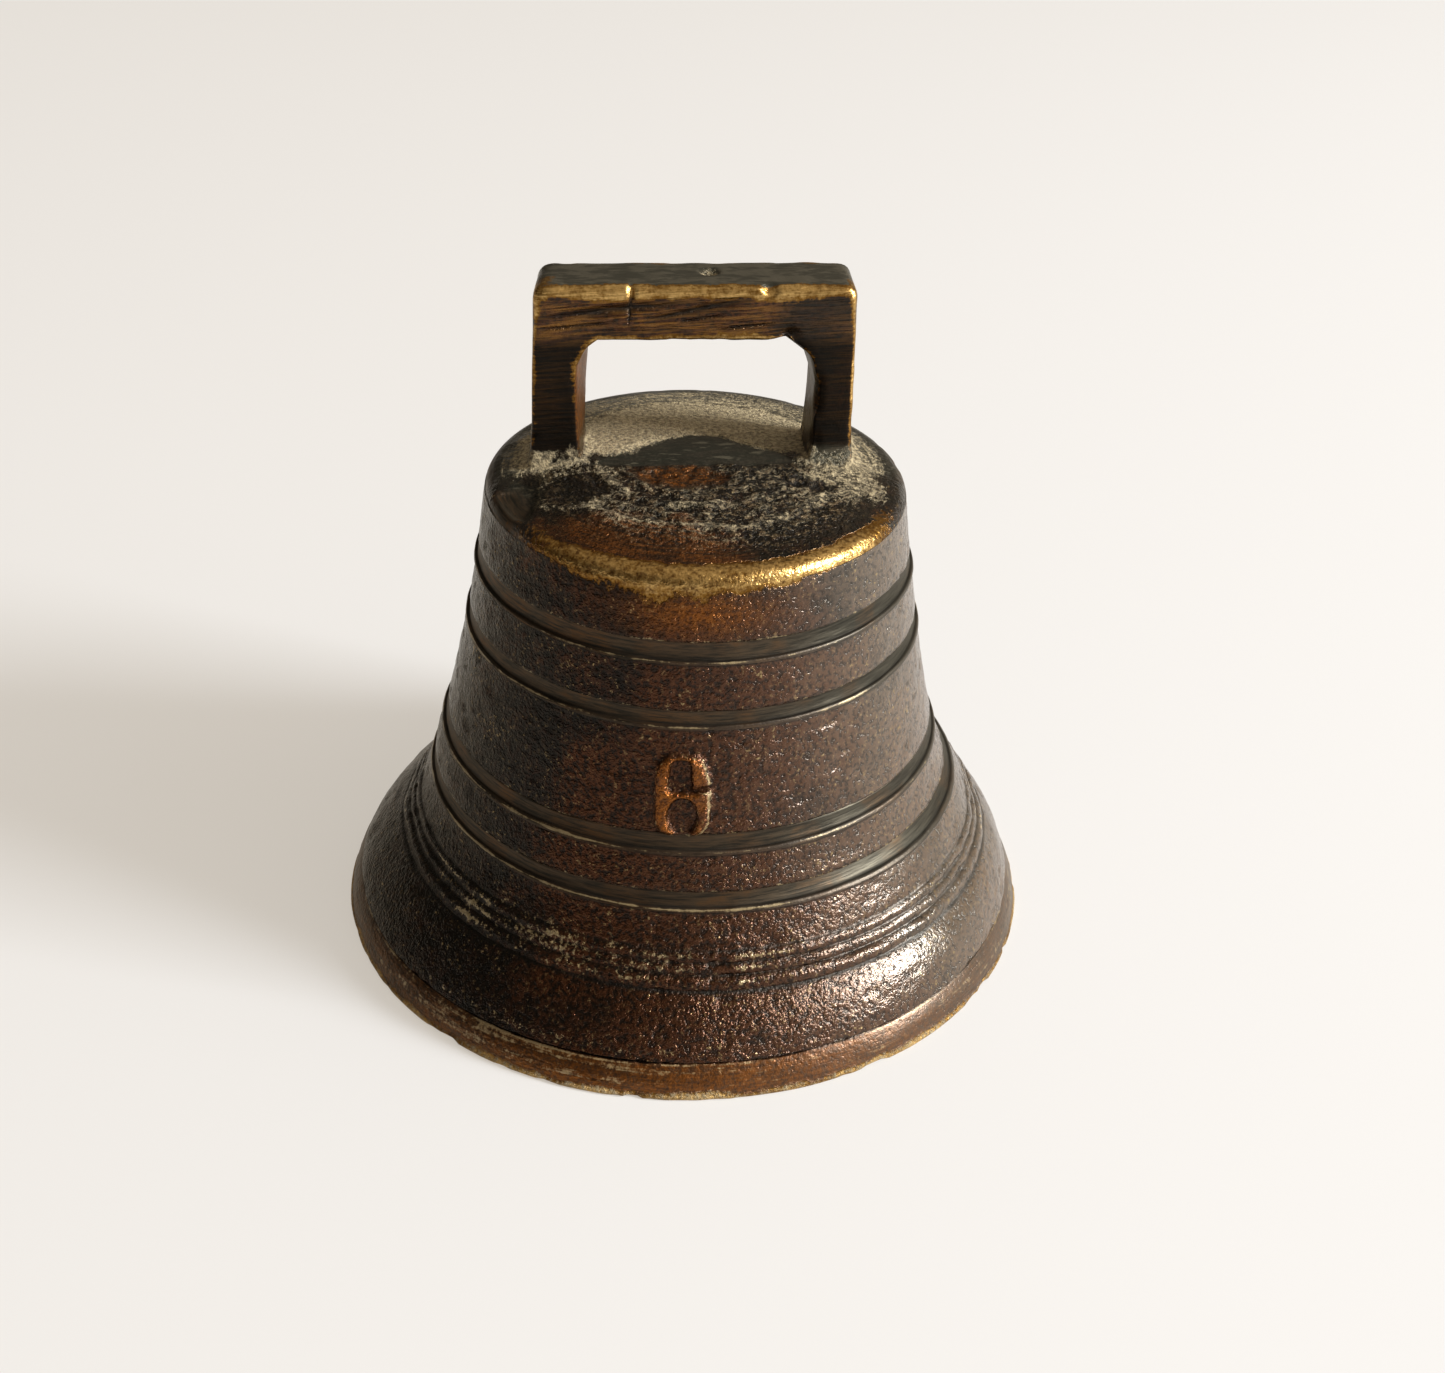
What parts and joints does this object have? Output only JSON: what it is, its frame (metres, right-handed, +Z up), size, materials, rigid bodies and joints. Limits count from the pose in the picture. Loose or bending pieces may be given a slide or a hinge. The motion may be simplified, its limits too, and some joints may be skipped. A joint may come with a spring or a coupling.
{
  "type": "sanctus bell",
  "caption": "Small flared hand bell cast in dark bronze with turned bands and a square loop handle, rung by an iron clapper that hangs on a link inside.",
  "frame": {"origin": "middle of the rim's plane, on the bell's axis, where it stands on a table", "axes": "+Z up along the bell's axis, X along the loop handle, -Y towards the raised numeral"},
  "size_m": [0.07, 0.07, 0.0655],
  "materials": {
    "bell_bronze": "dark brown-black patina on a sand-cast skin, smooth grey turned bands, worn to bare golden metal along the crown's edge, the loop's edges and the mouth",
    "staple_iron": "dark wrought wire, lightly rusted, rubbed where the link hangs",
    "link_iron": "dark wrought wire, rubbed bright where it bears",
    "clapper_iron": "forge-black wrought iron with brown rust in the hammer marks",
    "ball_iron": "dark brown iron, rubbed brighter in a belt where it strikes"
  },
  "bodies": {
    "bell": {"bell_casting": "bell_bronze", "clapper_staple": "staple_iron"},
    "link": {"clapper_link": "link_iron"},
    "clapper": {"clapper_shank": "clapper_iron", "clapper_ball": "ball_iron"}
  },
  "joints": [
    {"name": "link_swing", "type": "hinge", "parent": "bell", "child": "link", "pos_m": [0, 0, 0.0389], "axis": [1, 0, 0], "range_deg": [-33, 33]},
    {"name": "clapper_swing", "type": "hinge", "parent": "link", "child": "clapper", "pos_m": [0, 0, 0.0339], "axis": [0, 1, 0], "range_deg": [-12, 12]}
  ]
}
